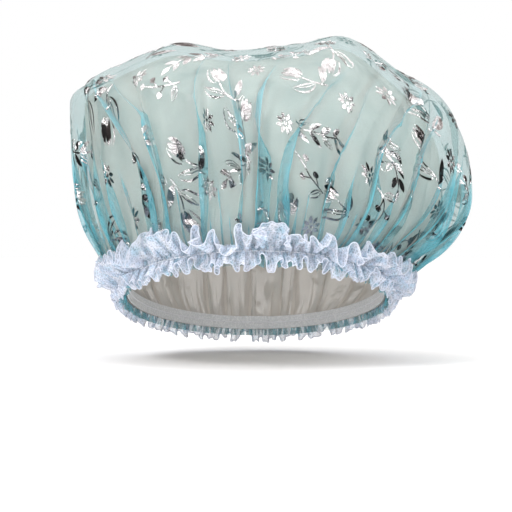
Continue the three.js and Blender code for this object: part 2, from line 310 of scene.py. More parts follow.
def ripples(draw, count, rounds, waves, height, seam):
    """Soft, uneven waves over the flat disc, the same on every run."""
    about = draw.integers(*rounds, count)
    along = draw.uniform(*waves, count) * draw.choice([-1, 1], count)
    phase = draw.uniform(0, 2 * np.pi, count)

    def lift(radius, turn):
        """How far the waves lift the cloth, in metres."""
        total = np.zeros_like(turn)
        for m, n, p in zip(about, along, phase):
            total += np.cos(m * turn + n * radius / 100 + p)
        share = radius / seam
        faded = ease(0.08, 0.37, share) * (1 - ease(0.86, 0.99, share))
        return total * height * mm / math.sqrt(count) * faded

    return lift


def drape(form, outward, pleats, crumple, radius, turn):
    """Where points of the flat disc lie once it is gathered, and how tightly it is folded there.

    The cloth is sunk by about as much as its pleats stand out, except where it is sewn.
    """
    crest = 1.65
    r = np.clip(radius, 0, form.shape[1] - 1.0001)
    j = r.astype(int)
    f = r - j
    here = turn.copy()
    rise = np.zeros_like(turn)
    tuck = np.zeros_like(turn)
    tables = [pleats[name] for name in ("flat_place", "cloth", "width", "rise")]
    for k in range(pleats["cloth"].shape[1]):
        place, cloth, width, high = (t[j, k] * (1 - f) + t[j + 1, k] * f for t in tables)
        near = np.clip((turn - place) / width, -8, 8)
        here -= cloth / 2 * np.tanh(near)
        rise -= high * crest * near * np.exp(-near * near / 2)
        tuck += cloth / (2 * width) / np.cosh(near) ** 2
    whole = pleats["whole"][j] * (1 - f) + pleats["whole"][j + 1] * f
    angle = here / (1 - whole / (2 * np.pi))
    share = radius / (form.shape[1] - 1)
    sunk = 1.2 + 0.8 * ease(0.4, 0.65, share)
    lift = rise + crumple(radius, turn) - sunk * mm * (1 - ease(0.84, 0.92, share))
    points = read_form(form, angle, r) + lift[:, None] * read_form(outward, angle, r)
    return points, tuck


def fold_grid(pleats, rows, last):
    """Rings of places on the flat disc, in columns that follow the pleats and crowd up to them."""
    crowd = [0, 0.1, 0.2, 0.32, 0.47, 0.7, 1]
    crowd_widths = 3
    crowd_share = 0.42
    q = np.linspace(0, 1, rows + 1)[1:]
    reached = last * (1 - (1 - q) ** 1.25)
    j = np.minimum(reached, last - 0.0001).astype(int)
    f = (reached - j)[:, None]
    place, width = (pleats[n][j] * (1 - f) + pleats[n][j + 1] * f for n in ("flat_place", "width"))
    beyond = np.concatenate([place[:, 1:], place[:, :1] + 2 * np.pi], axis=1)
    gap = beyond - place
    after = np.minimum(crowd_widths * width, crowd_share * gap)
    ahead = np.minimum(crowd_widths * np.roll(width, -1, axis=1), crowd_share * gap)
    columns = [place + s * after for s in crowd]
    columns += [place + after + t * (gap - after - ahead) for t in (1 / 3, 2 / 3)]
    columns += [beyond - s * ahead for s in crowd[:0:-1]]
    turn = np.stack(columns, axis=-1).reshape(rows, -1)
    turn = (turn + np.pi) % (2 * np.pi) - np.pi
    return np.repeat(reached, turn.shape[1]), turn.ravel(), turn.shape[1]


def smooth_piece(name, points, faces, flat=None):
    """A smooth piece of mesh, with the flat place of each corner of its faces, in metres, as UV."""
    mesh = bpy.data.meshes.new(name)
    mesh.from_pydata(points.tolist(), [], faces)
    if flat is not None:
        mesh.uv_layers.new(name="flat").data.foreach_set("uv", flat.ravel())
    mesh.polygons.foreach_set("use_smooth", np.ones(len(mesh.polygons), bool))
    piece = bpy.data.objects.new(name, mesh)
    bpy.context.collection.objects.link(piece)
    return piece


def ring_faces(index):
    """Faces between closed rings of points, given by their places in the list."""
    beside = np.roll(index, -1, axis=1)
    return np.stack([index[:-1], index[1:], beside[1:], beside[:-1]], axis=-1).reshape(-1, 4)


def disc_object(name, cloth, rows):
    """A gathered disc in rings about its centre, with attributes for how folded and creased it is."""
    crease_tuck = 1
    crease_spread = 0.45
    form, _, pleats, _ = cloth
    radius, turn, columns = fold_grid(pleats, rows, form.shape[1] - 1)
    points, tuck = drape(*cloth, radius, turn)
    corner = np.arange(len(points)).reshape(-1, columns) + 1
    quads = ring_faces(corner)
    fan = np.stack([np.zeros(columns, int), corner[0], np.roll(corner[0], -1)], axis=-1)
    flat = np.stack([radius * np.sin(turn), -radius * np.cos(turn)], axis=-1) * mm
    flat = np.vstack([[0, 0], flat])
    used = np.concatenate([fan.ravel(), quads.ravel()])
    points = np.vstack([form[0, 0], points])
    piece = smooth_piece(name, points, fan.tolist() + quads.tolist(), flat[used])
    tuck = np.concatenate([[0], tuck])
    crease = np.exp(-(((tuck - crease_tuck) / crease_spread) ** 2))
    for key, values in (("tuck", tuck), ("crease", crease)):
        piece.data.attributes.new(key, "FLOAT", "POINT").data.foreach_set("value", values)
    return piece


def new_material(name, looks):
    """A material whose even values are set on its shader, for nodes to be wired to the rest."""
    material = bpy.data.materials.new(name)
    material.use_nodes = True
    tree = material.node_tree
    shader = tree.nodes["Principled BSDF"]
    for key, value in looks.items():
        shader.inputs[key].default_value = value
    return material, tree, shader


def node(tree, kind, inputs=None, **settings):
    """A new node with its sockets set, or linked where the value is another node's output."""
    made = tree.nodes.new("ShaderNode" + kind)
    for key, value in settings.items():
        setattr(made, key, value)
    for key, value in (inputs or {}).items():
        socket = made.inputs[key]
        if isinstance(value, bpy.types.NodeSocket):
            tree.links.new(value, socket)
        else:
            socket.default_value = value
    return made


def wire(tree, shader, outputs):
    """Links nodes' outputs to the shader's sockets of these names."""
    for key, output in outputs.items():
        tree.links.new(output, shader.inputs[key])


def span(tree, value, seen, wanted):
    """The value, with the seen range of it stretched or squeezed to the wanted range."""
    ends = {1: seen[0], 2: seen[1], 3: wanted[0], 4: wanted[1]}
    return node(tree, "MapRange", {0: value, **ends}).outputs[0]


def raised(tree, height, strength, distance, **more):
    """The surface's normal where a pattern stands up from it by the distance, in metres."""
    sockets = {"Height": height, "Strength": strength, "Distance": distance, **more}
    return node(tree, "Bump", sockets).outputs[0]


def flat_place(tree):
    """Places on the piece while it is flat, in metres."""
    return node(tree, "UVMap", uv_map="flat").outputs["UV"]


def noise(tree, place, scale, detail):
    """Uneven patches, so many to the metre."""
    return node(tree, "TexNoise", {"Vector": place, "Scale": scale, "Detail": detail}).outputs["Fac"]


def added(tree, first, second):
    """The sum of two values."""
    return node(tree, "Math", {0: first, 1: second}, operation="ADD").outputs[0]


def colours(tree, factor, *stops):
    """A ramp of colours, each at its place along the factor."""
    ramp = node(tree, "ValToRGB", {"Fac": factor})
    ramp.color_ramp.elements.remove(ramp.color_ramp.elements[1])
    for n, (place, colour) in enumerate(stops):
        stop = ramp.color_ramp.elements[0] if n == 0 else ramp.color_ramp.elements.new(place)
        stop.position = place
        stop.color = (*colour, 1)
    return ramp.outputs["Color"]


def sheer_turquoise():
    """Fine woven threads with gaps between them, denser and bluer where the cloth is folded."""
    material, tree, shader = new_material("sheer_turquoise", {"Roughness": 0.4, "Sheen Weight": 0.1})
    flat = flat_place(tree)
    warp = node(tree, "TexWave", {"Vector": flat, "Scale": 520.0}, bands_direction="X").outputs["Fac"]
    weft = node(tree, "TexWave", {"Vector": flat, "Scale": 520.0}, bands_direction="Y").outputs["Fac"]
    weave = node(tree, "Math", {0: warp, 1: weft}, operation="MAXIMUM").outputs[0]
    tuck = node(tree, "Attribute", attribute_name="tuck").outputs["Fac"]
    crease = node(tree, "Attribute", attribute_name="crease").outputs["Fac"]
    slub = noise(tree, flat, scale=60, detail=4)
    yarn = span(tree, weave, (0.0, 1.0), (0.25, 0.41))
    uneven = span(tree, slub, (0.3, 0.7), (-0.02, 0.03))
    lined = node(tree, "Math", {0: crease, 1: 0.24, 2: yarn}, operation="MULTIPLY_ADD").outputs[0]
    folded = span(tree, tuck, (1.0, 4.0), (0.0, 0.08))
    solid = added(tree, added(tree, lined, uneven), folded)
    tint = colours(
        tree, tuck, (0.0, (0.2, 0.385, 0.39)), (0.4, (0.155, 0.44, 0.485)), (1.0, (0.115, 0.48, 0.585))
    )
    woven = raised(tree, weave, 0.25, 0.1 * mm)
    wire(tree, shader, {"Alpha": solid, "Base Color": tint, "Normal": woven})
    return material


cover_draw = np.random.default_rng(11)
no_inset = dict.fromkeys(overhang, 0)
cover_form = smooth_crown(
    cover_offset, no_inset, drop=0, depth=5.5 * mm, swell=2 * mm, seam=cover_seam, edge=cover_edge
)
cover_outward = normals_of(cover_form)
cover_folds = pleat_list(cover_draw, front_pleats, apart=15, first_main=0.37, first_small=0.78)
cover_pleats = gather(cover_form, cover_folds, cover_seam, taken=0.9, most=15, height=2.2)
cover_crumple = ripples(cover_draw, count=14, rounds=(3, 22), waves=(2, 9), height=0.9, seam=cover_seam)
cover_cloth = (cover_form, cover_outward, cover_pleats, cover_crumple)
outer_cover = disc_object("gathered_cover", cover_cloth, rows=62)
outer_cover.data.materials.append(sheer_turquoise())
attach(outer_cover, "root")
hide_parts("outer_cover")

# Foil print
# Bright silver foil pressed on to the face of the organza while it is flat: daisies, tulip sprays,
# leafy sprigs and berry twigs, scattered over the whole disc. It follows every pleat of the cloth.
foil_gap = 0.2 * mm

# Each motif is drawn in mm about its own middle, printed larger by this much, and kept off the edge
print_scale = 1.2
print_apart = 36
print_stray = 5
print_margin = 4


def bent_line(start, way, length):
    """Places along a line that turns through these headings, in degrees, and the way to its left."""
    way = np.radians(way)
    ahead = np.stack([np.cos(way), np.sin(way)], axis=-1)
    left = np.stack([-np.sin(way), np.cos(way)], axis=-1)
    moves = ahead[1:] * length / (len(way) - 1)
    return np.array(start) + np.concatenate([[[0, 0]], np.cumsum(moves, axis=0)]), left


def blade(start, heading, length, width, bend=0, hollow=0, blunt=0.75, steps=9):
    """A petal, leaf or dot about a bent line: filled, or only its two edges where it is hollow."""
    t = np.linspace(0, 1, steps + 1)
    line, left = bent_line(start, heading + bend * (t - 0.5 / steps), length)
    half = np.maximum(width * np.sin(np.pi * t ** 0.85) ** blunt, 0.05)
    bands = [np.linspace(-1, 1, 5)]
    if hollow:
        bands = [np.linspace(-1, -hollow, 2), np.linspace(hollow, 1, 2)]
    return [line[:, None] + band[None, :, None] * (half[:, None] * left)[:, None] for band in bands]


def stalk(start, heading, length, width, bend=0, steps=12):
    """A stem of even width, with the places and headings along it."""
    way = heading + bend * np.linspace(0, 1, steps + 1)
    line, left = bent_line(start, way, length)
    strip = np.stack([line - width * left, line + width * left], axis=1)
    return strip, line, way


def daisy(petals=8):
    """A round eye with a ring of petals."""
    parts = blade((-1.1, 0), 0, 2.2, 1.1, blunt=0.5, steps=4)
    for n in range(petals):
        way = 360 * n / petals
        root = 1.7 * np.array([math.cos(math.radians(way)), math.sin(math.radians(way))])
        parts += blade(root, way, 4.4, 1.05, blunt=0.6, steps=5)
    return parts


def outlined_leaf(start, heading, length, width, bend):
    """A leaf drawn as an outline with a midrib."""
    rib = blade(start, heading + 0.1 * bend, 0.8 * length, 0.32, bend=0.8 * bend, steps=6)
    return blade(start, heading, length, width, bend=bend, hollow=0.6) + rib


def tulip_spray():
    """A tulip of three petals, one of them an outline, on a stem with two leaves."""
    stem, line, _ = stalk((0, -2), -90, 18, 0.5, bend=26)
    parts = [stem]
    parts += blade((0, -1.5), 90, 14, 2.5, blunt=0.8)
    parts += blade((-2.2, -1.2), 118, 14, 2.3, bend=-52, hollow=0.5)
    parts += blade((2.2, -1.2), 62, 14, 2.3, bend=52)
    parts += outlined_leaf(line[6] + (-0.7, 0), 160, 17, 3.2, -48)
    parts += blade(line[9] + (0.7, 0), 15, 14, 2.6, bend=46)
    return parts


def leafy_sprig():
    """A bent stem with pairs of leaves that get shorter towards its tip."""
    stem, line, way = stalk((0, -15), 78, 30, 0.46, bend=34)
    parts = [stem]
    for n, at in enumerate((1, 4, 7, 10)):
        long = 9.6 - 0.8 * n
        side = np.array([-math.sin(math.radians(way[at])), math.cos(math.radians(way[at]))])
        for hand in (1, -1):
            root = line[at] + 0.6 * hand * side
            leaf = outlined_leaf if (n + hand) % 4 == 1 else blade
            parts += leaf(root, way[at] + 50 * hand, long, 1.7, -22 * hand)
    parts += blade(line[-1], way[-1], 7, 1.6)
    return parts


def berry_twig():
    """A bent twig with berries on short stalks, and one leaf."""
    stem, line, way = stalk((0, -10), 95, 20, 0.42, bend=-40)
    parts = [stem]
    for n, at in enumerate((3, 6, 9, 12)):
        turn = way[at] + (48 if n % 2 else -48) * (n < 3)
        strip, tip, ways = stalk(line[at], turn, 4, 0.34, steps=4)
        parts += [strip] + blade(tip[-1], ways[-1], 3.6, 1.8, blunt=0.5, steps=5)
    parts += outlined_leaf(line[2] + (-0.6, 0), 170, 10, 2.2, -40)
    return parts


def scattered_motifs(draw):
    """Motifs on a loose honeycomb over the flat disc, each turned its own way."""
    makers = [tulip_spray, daisy, leafy_sprig, daisy, berry_twig, tulip_spray, daisy]
    count = 0
    grids = []
    for row in range(-9, 10):
        for step in range(-9, 10):
            cell = np.array([(step + 0.5 * (row % 2)) * print_apart, row * print_apart * 0.87])
            place = cell + draw.uniform(-print_stray, print_stray, 2)
            way = draw.uniform(0, 2 * np.pi)
            spin = np.array([[math.cos(way), -math.sin(way)], [math.sin(way), math.cos(way)]])
            motif = [print_scale * grid @ spin.T + place for grid in makers[count % len(makers)]()]
            count += 1
            reach = max(np.linalg.norm(grid, axis=-1).max() for grid in motif)
            if reach < cover_edge - print_margin:
                grids += motif
    return grids


def printed_foil(name, grids, cloth):
    """Every strip of foil, laid on the gathered cloth and standing just clear of its face."""
    flat = np.concatenate([grid.reshape(-1, 2) for grid in grids])
    quads = []
    base = 0
    for grid in grids:
        index = base + np.arange(grid.shape[0] * grid.shape[1]).reshape(grid.shape[:2])
        corners = [index[:-1, :-1], index[1:, :-1], index[1:, 1:], index[:-1, 1:]]
        quads += np.stack(corners, axis=-1).reshape(-1, 4).tolist()
        base += index.size

    def laid(place):
        """Where places of the flat disc lie on the gathered cloth."""
        turn = np.arctan2(place[:, 0], -place[:, 1])
        return drape(*cloth, np.linalg.norm(place, axis=1), turn)[0]

    here = laid(flat)
    face = np.cross(laid(flat + (0.15, 0)) - here, laid(flat + (0, 0.15)) - here)
    face /= np.maximum(np.linalg.norm(face, axis=1, keepdims=True), 1e-15)
    return smooth_piece(name, here + foil_gap * face, quads, flat[np.ravel(quads)] * mm)


def silver_foil():
    """Bright foil, crumpled into small facets that each catch the light their own way, with painted
    dark, pinkish reflection in patches.
    """
    material, tree, shader = new_material("silver_foil", {"Metallic": 1.0})
    flat = flat_place(tree)
    crinkle_and_painted_reflection = node(tree, "TexNoise", {"Vector": flat, "Scale": 180.0, "Detail": 2.0}).outputs["Color"]
    stretch = {0: crinkle_and_painted_reflection, 1: (0.006, 0.006, 0), 2: flat}
    bent = node(tree, "VectorMath", stretch, operation="MULTIPLY_ADD").outputs[0]
    facet = node(tree, "TexVoronoi", {"Vector": bent, "Scale": 150.0}).outputs["Color"]
    tilt = {0: facet, 1: (0.64, 0.64, 0), 2: (0.18, 0.18, 1)}
    lean = node(tree, "VectorMath", tilt, operation="MULTIPLY_ADD").outputs[0]
    crumpled = node(tree, "NormalMap", {"Color": lean, "Strength": 1.0}, uv_map="flat").outputs[0]
    grain = noise(tree, flat, scale=1100, detail=2)
    wear = span(tree, grain, (0.3, 0.7), (0.1, 0.24))
    # The base colour is painted darker and pinkish in noise patches: a painted reflection of a dark,
    # pinkish room on the silver
    tint = colours(tree, crinkle_and_painted_reflection, (0.35, (0.6, 0.56, 0.57)), (0.6, (0.9, 0.89, 0.9)))
    pressed = raised(tree, grain, 0.8, 0.8 * mm, Normal=crumpled)
    wire(tree, shader, {"Roughness": wear, "Base Color": tint, "Normal": pressed})
    return material


foil = printed_foil("foil_print", scattered_motifs(np.random.default_rng(5)), cover_cloth)
foil.data.materials.append(silver_foil())
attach(foil, "root")

# Inner liner
# One disc of frosted waterproof film, smaller than the cover, gathered in the same seam and hanging
# free inside it.
liner_offset = 1.9 * mm
liner_inset = {"front": 9 * mm, "right": 15.5 * mm, "back": 11.5 * mm, "left": 7.5 * mm}
liner_drop = 7 * mm
liner_seam = 212
liner_edge = liner_seam + 8


def frosted_film():
    """Milky film with a fine frost, cloudy from place to place."""
    looks = {"Roughness": 0.42, "Specular IOR Level": 0.4}
    material, tree, shader = new_material("frosted_film", looks)
    flat = flat_place(tree)
    tuck = node(tree, "Attribute", attribute_name="tuck").outputs["Fac"]
    cloud = noise(tree, flat, scale=28, detail=4)
    frost = noise(tree, flat, scale=1800, detail=2)
    milky = span(tree, cloud, (0.3, 0.7), (0.76, 0.84))
    folded = span(tree, tuck, (0.0, 2.5), (0.0, 0.15))
    solid = added(tree, milky, folded)
    tint = colours(tree, cloud, (0.35, (0.67, 0.63, 0.585)), (0.65, (0.74, 0.7, 0.65)))
    frosted = raised(tree, frost, 0.15, 0.2 * mm)
    wire(tree, shader, {"Alpha": solid, "Base Color": tint, "Normal": frosted})
    return material


liner_draw = np.random.default_rng(23)
liner_form = smooth_crown(
    liner_offset, liner_inset, liner_drop, depth=3 * mm, swell=0, seam=liner_seam, edge=liner_edge
)
liner_folds = pleat_list(liner_draw, [], apart=11, first_main=0.46, first_small=0.82)
liner_pleats = gather(liner_form, liner_folds, liner_seam, taken=0.8, most=12, height=0.9)
liner_crumple = ripples(liner_draw, count=12, rounds=(3, 16), waves=(2, 7), height=1.0, seam=liner_seam)
liner_cloth = (liner_form, normals_of(liner_form), liner_pleats, liner_crumple)
inner_liner = disc_object("frosted_liner", liner_cloth, rows=60)
inner_liner.data.materials.append(frosted_film())
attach(inner_liner, "root")
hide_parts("inner_liner")

# Lace ruffle
# One strip of white net lace, gathered along its middle over the seam line so that both halves stand
# out in loops. A thick white cord is worked along each of its edges.
lace_offset = 3.6 * mm
lace_band_half = 0.8 * mm
upper_cord = 0.25 * mm
lower_cord = 0.3 * mm

# The strip in mm: its width above and below the seam line, its length, and the rim that it goes round
lace_over = 21
lace_below = 10.5
lace_strip = 1400
lace_round = 558

# The loops along it, the small gathers at the seam, and the degrees by which each half is lifted
lace_loops = 54
seam_gathers = 190
upper_lift = 27
lower_lift = 36
side_calm = 0.3
settle_rounds = 300

# The net is followed along lengthwise threads, this many in each half, in steps round the rim
lace_lines = 12
lace_steps = 2400
lace_along = np.arange(lace_steps) / lace_steps


def uneven_round(draw, rounds, amount):
    """A slow, uneven change along the strip, about nought."""
    total = np.zeros(lace_steps)
    for n in rounds:
        wave = np.sin(2 * np.pi * n * lace_along + draw.uniform(0, 2 * np.pi))
        total += amount / math.sqrt(len(rounds)) * wave
    return total


def drawn_up(width, lift, draw):
    """Half the strip in loose loops: its threads from the seam out, in mm along, away from and off it.

    Each loop is the S of a springy strip that is pushed together: two waves sideways to one outwards.
    """
    sway = (0.282, 0.009)
    bow = (1.156, 0.057)
    reach = np.linspace(0, 1, lace_lines + 1)[:, None]
    phase = 2 * np.pi * lace_loops * lace_along + uneven_round(draw, (3, 7, 13, 19, 29, 41), 1.8)
    swell = reach ** 0.8 * (1 + uneven_round(draw, (9, 14, 23, 31, 38, 47), 0.3))
    unit = lace_strip / lace_loops / (2 * np.pi)
    slant = reach * uneven_round(draw, (11, 19, 26, 35, 44), 1.6)
    sideways = unit * swell * (sway[0] * np.sin(2 * phase) + sway[1] * np.sin(4 * phase)) + slant
    stand = -unit * swell * (bow[0] * np.cos(phase) + bow[1] * np.cos(3 * phase))
    tight = 2 * np.pi * seam_gathers * lace_along + uneven_round(draw, (5, 17, 31, 57), 2.5)
    crumple = np.sin(np.pi * reach) * uneven_round(draw, (97, 118, 143, 171, 206), 0.9)
    stand = stand + (1 - reach) * 0.9 * np.cos(tight) + crumple
    tilt = math.radians(lift) + reach * uneven_round(draw, (8, 17, 29, 37, 45), 0.3)
    away = reach * width * np.cos(tilt) - stand * np.sin(tilt)
    off = reach * width * np.sin(tilt) + stand * np.cos(tilt)
    return np.stack([sideways, away, off], axis=-1)


def settled(points, width, rounds):
    """The same half once its threads are back at their own length and no fold is creased sharp.

    A sharp crease brings points some steps apart along a thread closer than the least share of their
    length, so they push each other away, more or less firmly.
    """
    seam = points[0].copy()
    thread = lace_strip / lace_steps
    between = width / (len(points) - 1)
    springs = [(1, 1, 1), (5, 0.8, 0.5), (11, 0.5, 0.4)]
    yielding = 0.35
    for _ in range(rounds):
        move = np.zeros_like(points)
        for steps, least, firm in springs:
            apart = np.roll(points, -steps, axis=1) - points
            apart[..., 0] += steps * lace_round / lace_steps
            wrong = 1 - least * steps * thread / np.linalg.norm(apart, axis=-1, keepdims=True)
            if steps > 1:
                wrong = np.minimum(wrong, 0)
            pull = apart * wrong * 0.5 * firm
            move += pull - np.roll(pull, steps, axis=1)
        apart = points[1:] - points[:-1]
        pull = apart * (1 - between / np.linalg.norm(apart, axis=-1, keepdims=True)) * 0.5
        move[:-1] += pull
        move[1:] -= pull
        points = points + yielding * move
        points[..., 2] = np.maximum(points[..., 2], 0)
        points[0] = seam
    return points


def rim_angle(sideways):
    """Where round the rim each point of a thread is, in radians from the front."""
    return (2 * np.pi * lace_along + 2 * np.pi * sideways / lace_round) % (2 * np.pi) - np.pi


def lace_rows():
    """The threads of the whole strip, from its upper edge to its lower one, and their flat places.

    The upper half lies on the cover, the lower hangs from the rim, and both are calmer at the sides.
    """
    rows = []
    across = []
    loose = drawn_up(lace_over, upper_lift, np.random.default_rng(31))
    upper = settled(loose, lace_over, settle_rounds)
    for n in range(lace_lines, 0, -1):
        sideways, away, off = upper[n].T
        angle = rim_angle(sideways)
        past = away * mm - (seam_half - lace_band_half)
        clear = lace_offset - cover_offset + off * mm * (1 - side_calm * np.sin(angle) ** 2)
        low = lean_back(ring(angle, cover_offset + clear, seam_half + past))
        radius = cover_seam - np.maximum(past, 0) / mm
        outward = read_form(cover_outward, angle, radius)
        high = read_form(cover_form, angle, radius) + clear[:, None] * outward
        rows.append(np.where((past > 0)[:, None], high, low))
        across.append(lace_band_half + lace_over * mm * n / lace_lines)
    for height in (lace_band_half, -lace_band_half):
        rows.append(lean_back(ring(2 * np.pi * lace_along - np.pi, lace_offset, height)))
        across.append(height)
    loose = drawn_up(lace_below, lower_lift, np.random.default_rng(47))
    lower = settled(loose, lace_below, settle_rounds)
    for n in range(1, lace_lines + 1):
        sideways, away, off = lower[n].T
        angle = rim_angle(sideways)
        clear = lace_offset + off * mm * (1 - side_calm * np.sin(angle) ** 2)
        rows.append(lean_back(ring(angle, clear, -lace_band_half - away * mm)))
        across.append(-lace_band_half - lace_below * mm * n / lace_lines)
    return np.array(rows), np.array(across)


def net_object(name, rows, across):
    """The net between the threads, closed into a ring."""
    quads = ring_faces(np.arange(len(rows) * lace_steps).reshape(len(rows), lace_steps))
    here = lace_along * lace_strip * mm
    there = np.append(lace_along[1:], 1) * lace_strip * mm
    u = np.stack([here, here, there, there], axis=-1)
    v = np.stack([across[:-1], across[1:], across[1:], across[:-1]], axis=-1)
    flat = np.stack(np.broadcast_arrays(u[None], v[:, None]), axis=-1)
    return smooth_piece(name, rows.reshape(-1, 3), quads.tolist(), flat)


def cord_object(name, path, width, length):
    """A round cord along a closed line of points."""
    ahead = np.roll(path, -1, axis=0) - np.roll(path, 1, axis=0)
    ahead /= np.linalg.norm(ahead, axis=1, keepdims=True)
    first = np.cross(ahead, (0, 0, 1))
    first /= np.linalg.norm(first, axis=1, keepdims=True)
    second = np.cross(ahead, first)
    sides = 6
    turns = 2 * np.pi * np.arange(sides)[:, None] / sides
    points = path[:, None] + width * (np.cos(turns) * first[:, None] + np.sin(turns) * second[:, None])
    index = np.arange(len(path) * sides).reshape(len(path), sides)
    on = np.roll(index, -1, axis=0)
    over = np.roll(index, -1, axis=1)
    quads = np.stack([index, over, np.roll(on, -1, axis=1), on], axis=-1).reshape(-1, 4)
    along = np.linspace(0, length, len(path) + 1)
    u = np.stack([along[:-1], along[:-1], along[1:], along[1:]], axis=-1)
    v = (np.arange(sides)[:, None] + np.array([0, 1, 1, 0])) * width
    flat = np.stack(np.broadcast_arrays(u[:, None], v[None]), axis=-1)
    return smooth_piece(name, points.reshape(-1, 3), quads.tolist(), flat)


def white_net():
    """Soft white net: threads round small cells, painted with bluish shade in the patches where it is
    thin.
    """
    material, tree, shader = new_material("white_net", {"Roughness": 0.7, "Sheen Weight": 0.3})
    flat = flat_place(tree)
    cells = node(tree, "TexVoronoi", {"Vector": flat, "Scale": 620.0}, feature="DISTANCE_TO_EDGE")
    threads = cells.outputs["Distance"]
    fluff_and_painted_shade = noise(tree, flat, scale=160, detail=3)
    mesh_part = span(tree, threads, (0.05, 0.2), (0.79, 0.42))
    thick = span(tree, fluff_and_painted_shade, (0.35, 0.7), (-0.1, 0.2))
    solid = added(tree, mesh_part, thick)
    # The colour is painted shade: bluish-grey patches on the white net, darkest and bluest where the
    # net is thinnest
    tint = colours(
        tree, fluff_and_painted_shade, (0.35, (0.54, 0.72, 0.88)), (0.5, (0.68, 0.74, 0.86)), (0.65, (0.8, 0.81, 0.88))
    )
    netted = raised(tree, threads, -0.4, 0.2 * mm)
    wire(tree, shader, {"Alpha": solid, "Base Color": tint, "Normal": netted})
    return material


def white_cord():
    """White thread twisted into a cord."""
    material, tree, shader = new_material("white_cord", {"Roughness": 0.6, "Sheen Weight": 0.3})
    flat = flat_place(tree)
    slant = node(tree, "Mapping", {"Vector": flat, "Rotation": (0, 0, math.radians(35))}).outputs[0]
    ply = node(tree, "TexWave", {"Vector": slant, "Scale": 420.0}, bands_direction="X").outputs["Fac"]
    tint = colours(tree, ply, (0.2, (0.62, 0.66, 0.78)), (0.7, (0.74, 0.77, 0.86)))
    wire(tree, shader, {"Base Color": tint, "Normal": raised(tree, ply, 0.6, 0.3 * mm)})
    return material


net_rows, net_across = lace_rows()
lace_net = net_object("lace_net", net_rows, net_across)
lace_net.data.materials.append(white_net())
lace_cords = [
    cord_object("upper_lace_cord", net_rows[0], upper_cord, lace_strip * mm),
    cord_object("lower_lace_cord", net_rows[-1], lower_cord, lace_strip * mm),
]
cord_white = white_cord()
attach(lace_net, "root")
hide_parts("lace_ruffle")
for lace_cord in lace_cords:
    lace_cord.data.materials.append(cord_white)
    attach(lace_cord, "root")

# Elastic band
# A strap of white knitted elastic with ribs along it, stretched round the inside of the seam. Its ends
# are lapped at the back.
tape_thickness = 1 * mm
tape_web = 0.9 * tape_thickness
tape_lap = 16 * mm
tape_lap_gap = 0.35 * mm
tape_ribs = 10
rib_nip = 0.997


def knitted_elastic():
    """White yarn knitted over rubber."""
    material, tree, shader = new_material("knitted_elastic", {"Roughness": 0.85, "Sheen Weight": 0.2})
    place = node(tree, "TexCoord").outputs["Object"]
    knit = node(tree, "TexVoronoi", {"Vector": place, "Scale": 900.0}).outputs["Distance"]
    tint = colours(tree, knit, (0.1, (0.88, 0.89, 0.9)), (0.6, (0.7, 0.72, 0.74)))
    wire(tree, shader, {"Base Color": tint, "Normal": raised(tree, knit, 0.5, 0.3 * mm)})
    return material


bpy.ops.object.select_all(action="DESELECT")
bpy.ops.mesh.primitive_circle_add(vertices=200, radius=1, fill_type="NOTHING")
elastic = bpy.context.object
elastic.name = elastic.data.name = "elastic_tape"
bpy.ops.object.mode_set(mode="EDIT")
bpy.ops.mesh.select_all(action="SELECT")
half_tape = tape_thickness / 2
bpy.ops.transform.resize(value=(rim_half_width + half_tape, rim_half_depth + half_tape, 1))
bpy.ops.transform.translate(value=(0, 0, -seam_half))
rib_step = (0, 0, 2 * seam_half / tape_ribs)
for rib in range(tape_ribs):
    bpy.ops.mesh.extrude_region_move(TRANSFORM_OT_translate={"value": rib_step})
    nip = rib_nip if rib % 2 == 0 else 1 / rib_nip
    bpy.ops.transform.resize(value=(nip, nip, 1), center_override=(0, 0, 0))
bpy.ops.mesh.select_all(action="DESELECT")
bpy.ops.object.mode_set(mode="OBJECT")
for face in elastic.data.polygons:
    face.select = face.center.y > 0 and abs(face.center.x) < tape_lap / 2
bpy.ops.object.mode_set(mode="EDIT")
bpy.ops.mesh.select_mode(type="FACE")
lap_move = (0, -tape_thickness - tape_lap_gap, 0)
bpy.ops.mesh.duplicate_move(TRANSFORM_OT_translate={"value": lap_move})
bpy.ops.mesh.select_all(action="SELECT")
bpy.ops.transform.rotate(value=rim_lean, orient_axis="X", center_override=(0, 0, 0))
bpy.ops.mesh.normals_make_consistent(inside=False)
bpy.ops.object.mode_set(mode="OBJECT")
thickness = elastic.modifiers.new("thickness", "SOLIDIFY")
thickness.thickness = tape_web
thickness.offset = 0
bpy.ops.object.modifier_apply(modifier="thickness")
bpy.ops.object.shade_smooth_by_angle(angle=math.radians(50))
elastic.data.materials.append(knitted_elastic())
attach(elastic, "root")
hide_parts("elastic_band")

# Sewing thread
# White polyester lockstitch through lace, cover, liner and elastic. The needle thread shows as a row of
# stitches along the middle of the lace, and the bobbin thread as one inside the elastic.
stitch_count = 172
stitch_length = 3.1 * mm
stitch_shank = 0.62 * stitch_length
stitch_radius = 0.3 * mm
stitch_end = 0.45 * mm
stitch_taper = 0.4
needle_offset = 4.3 * mm
bobbin_offset = -0.3 * mm


def twisted_thread():
    """White polyester thread with a fine twist."""
    material, tree, shader = new_material("twisted_thread", {"Roughness": 0.55, "Sheen Weight": 0.2})
    place = node(tree, "TexCoord").outputs["Object"]
    ply = noise(tree, place, scale=2400, detail=2)
    tint = colours(tree, ply, (0.3, (0.78, 0.8, 0.86)), (0.65, (0.93, 0.94, 0.97)))
    wire(tree, shader, {"Base Color": tint, "Normal": raised(tree, ply, 0.4, 0.2 * mm)})
    return material


